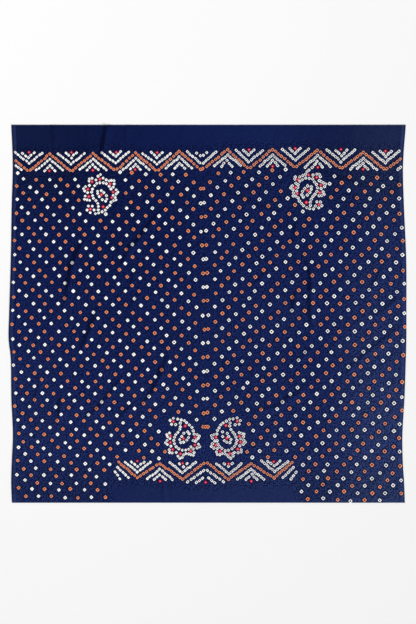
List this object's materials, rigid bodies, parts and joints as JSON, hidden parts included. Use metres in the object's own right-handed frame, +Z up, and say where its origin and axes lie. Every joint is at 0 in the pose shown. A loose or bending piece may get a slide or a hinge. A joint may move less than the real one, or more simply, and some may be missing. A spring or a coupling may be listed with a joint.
{
  "type": "bandhani fabric, a cut length of tied and dyed cotton",
  "caption": "Nearly square cut length of fine tie-dyed cotton, laid flat with low creases, straight cut ends and slightly wavy selvedges.",
  "frame": {"origin": "on the surface the cloth lies on, under the middle of its box", "axes": "+X across the cloth from selvedge to selvedge, +Y along it towards the end with the full-width border, +Z up out of its face"},
  "size_m": [1.074, 1.0201, 0.0065],
  "materials": {
    "dyed_cotton": "fine plain-weave cotton, dyed navy, with white, orange and crimson resist dots; soft low sheen"
  },
  "bodies": {
    "root": {"bandhani_cloth": "dyed_cotton"}
  },
  "joints": []
}
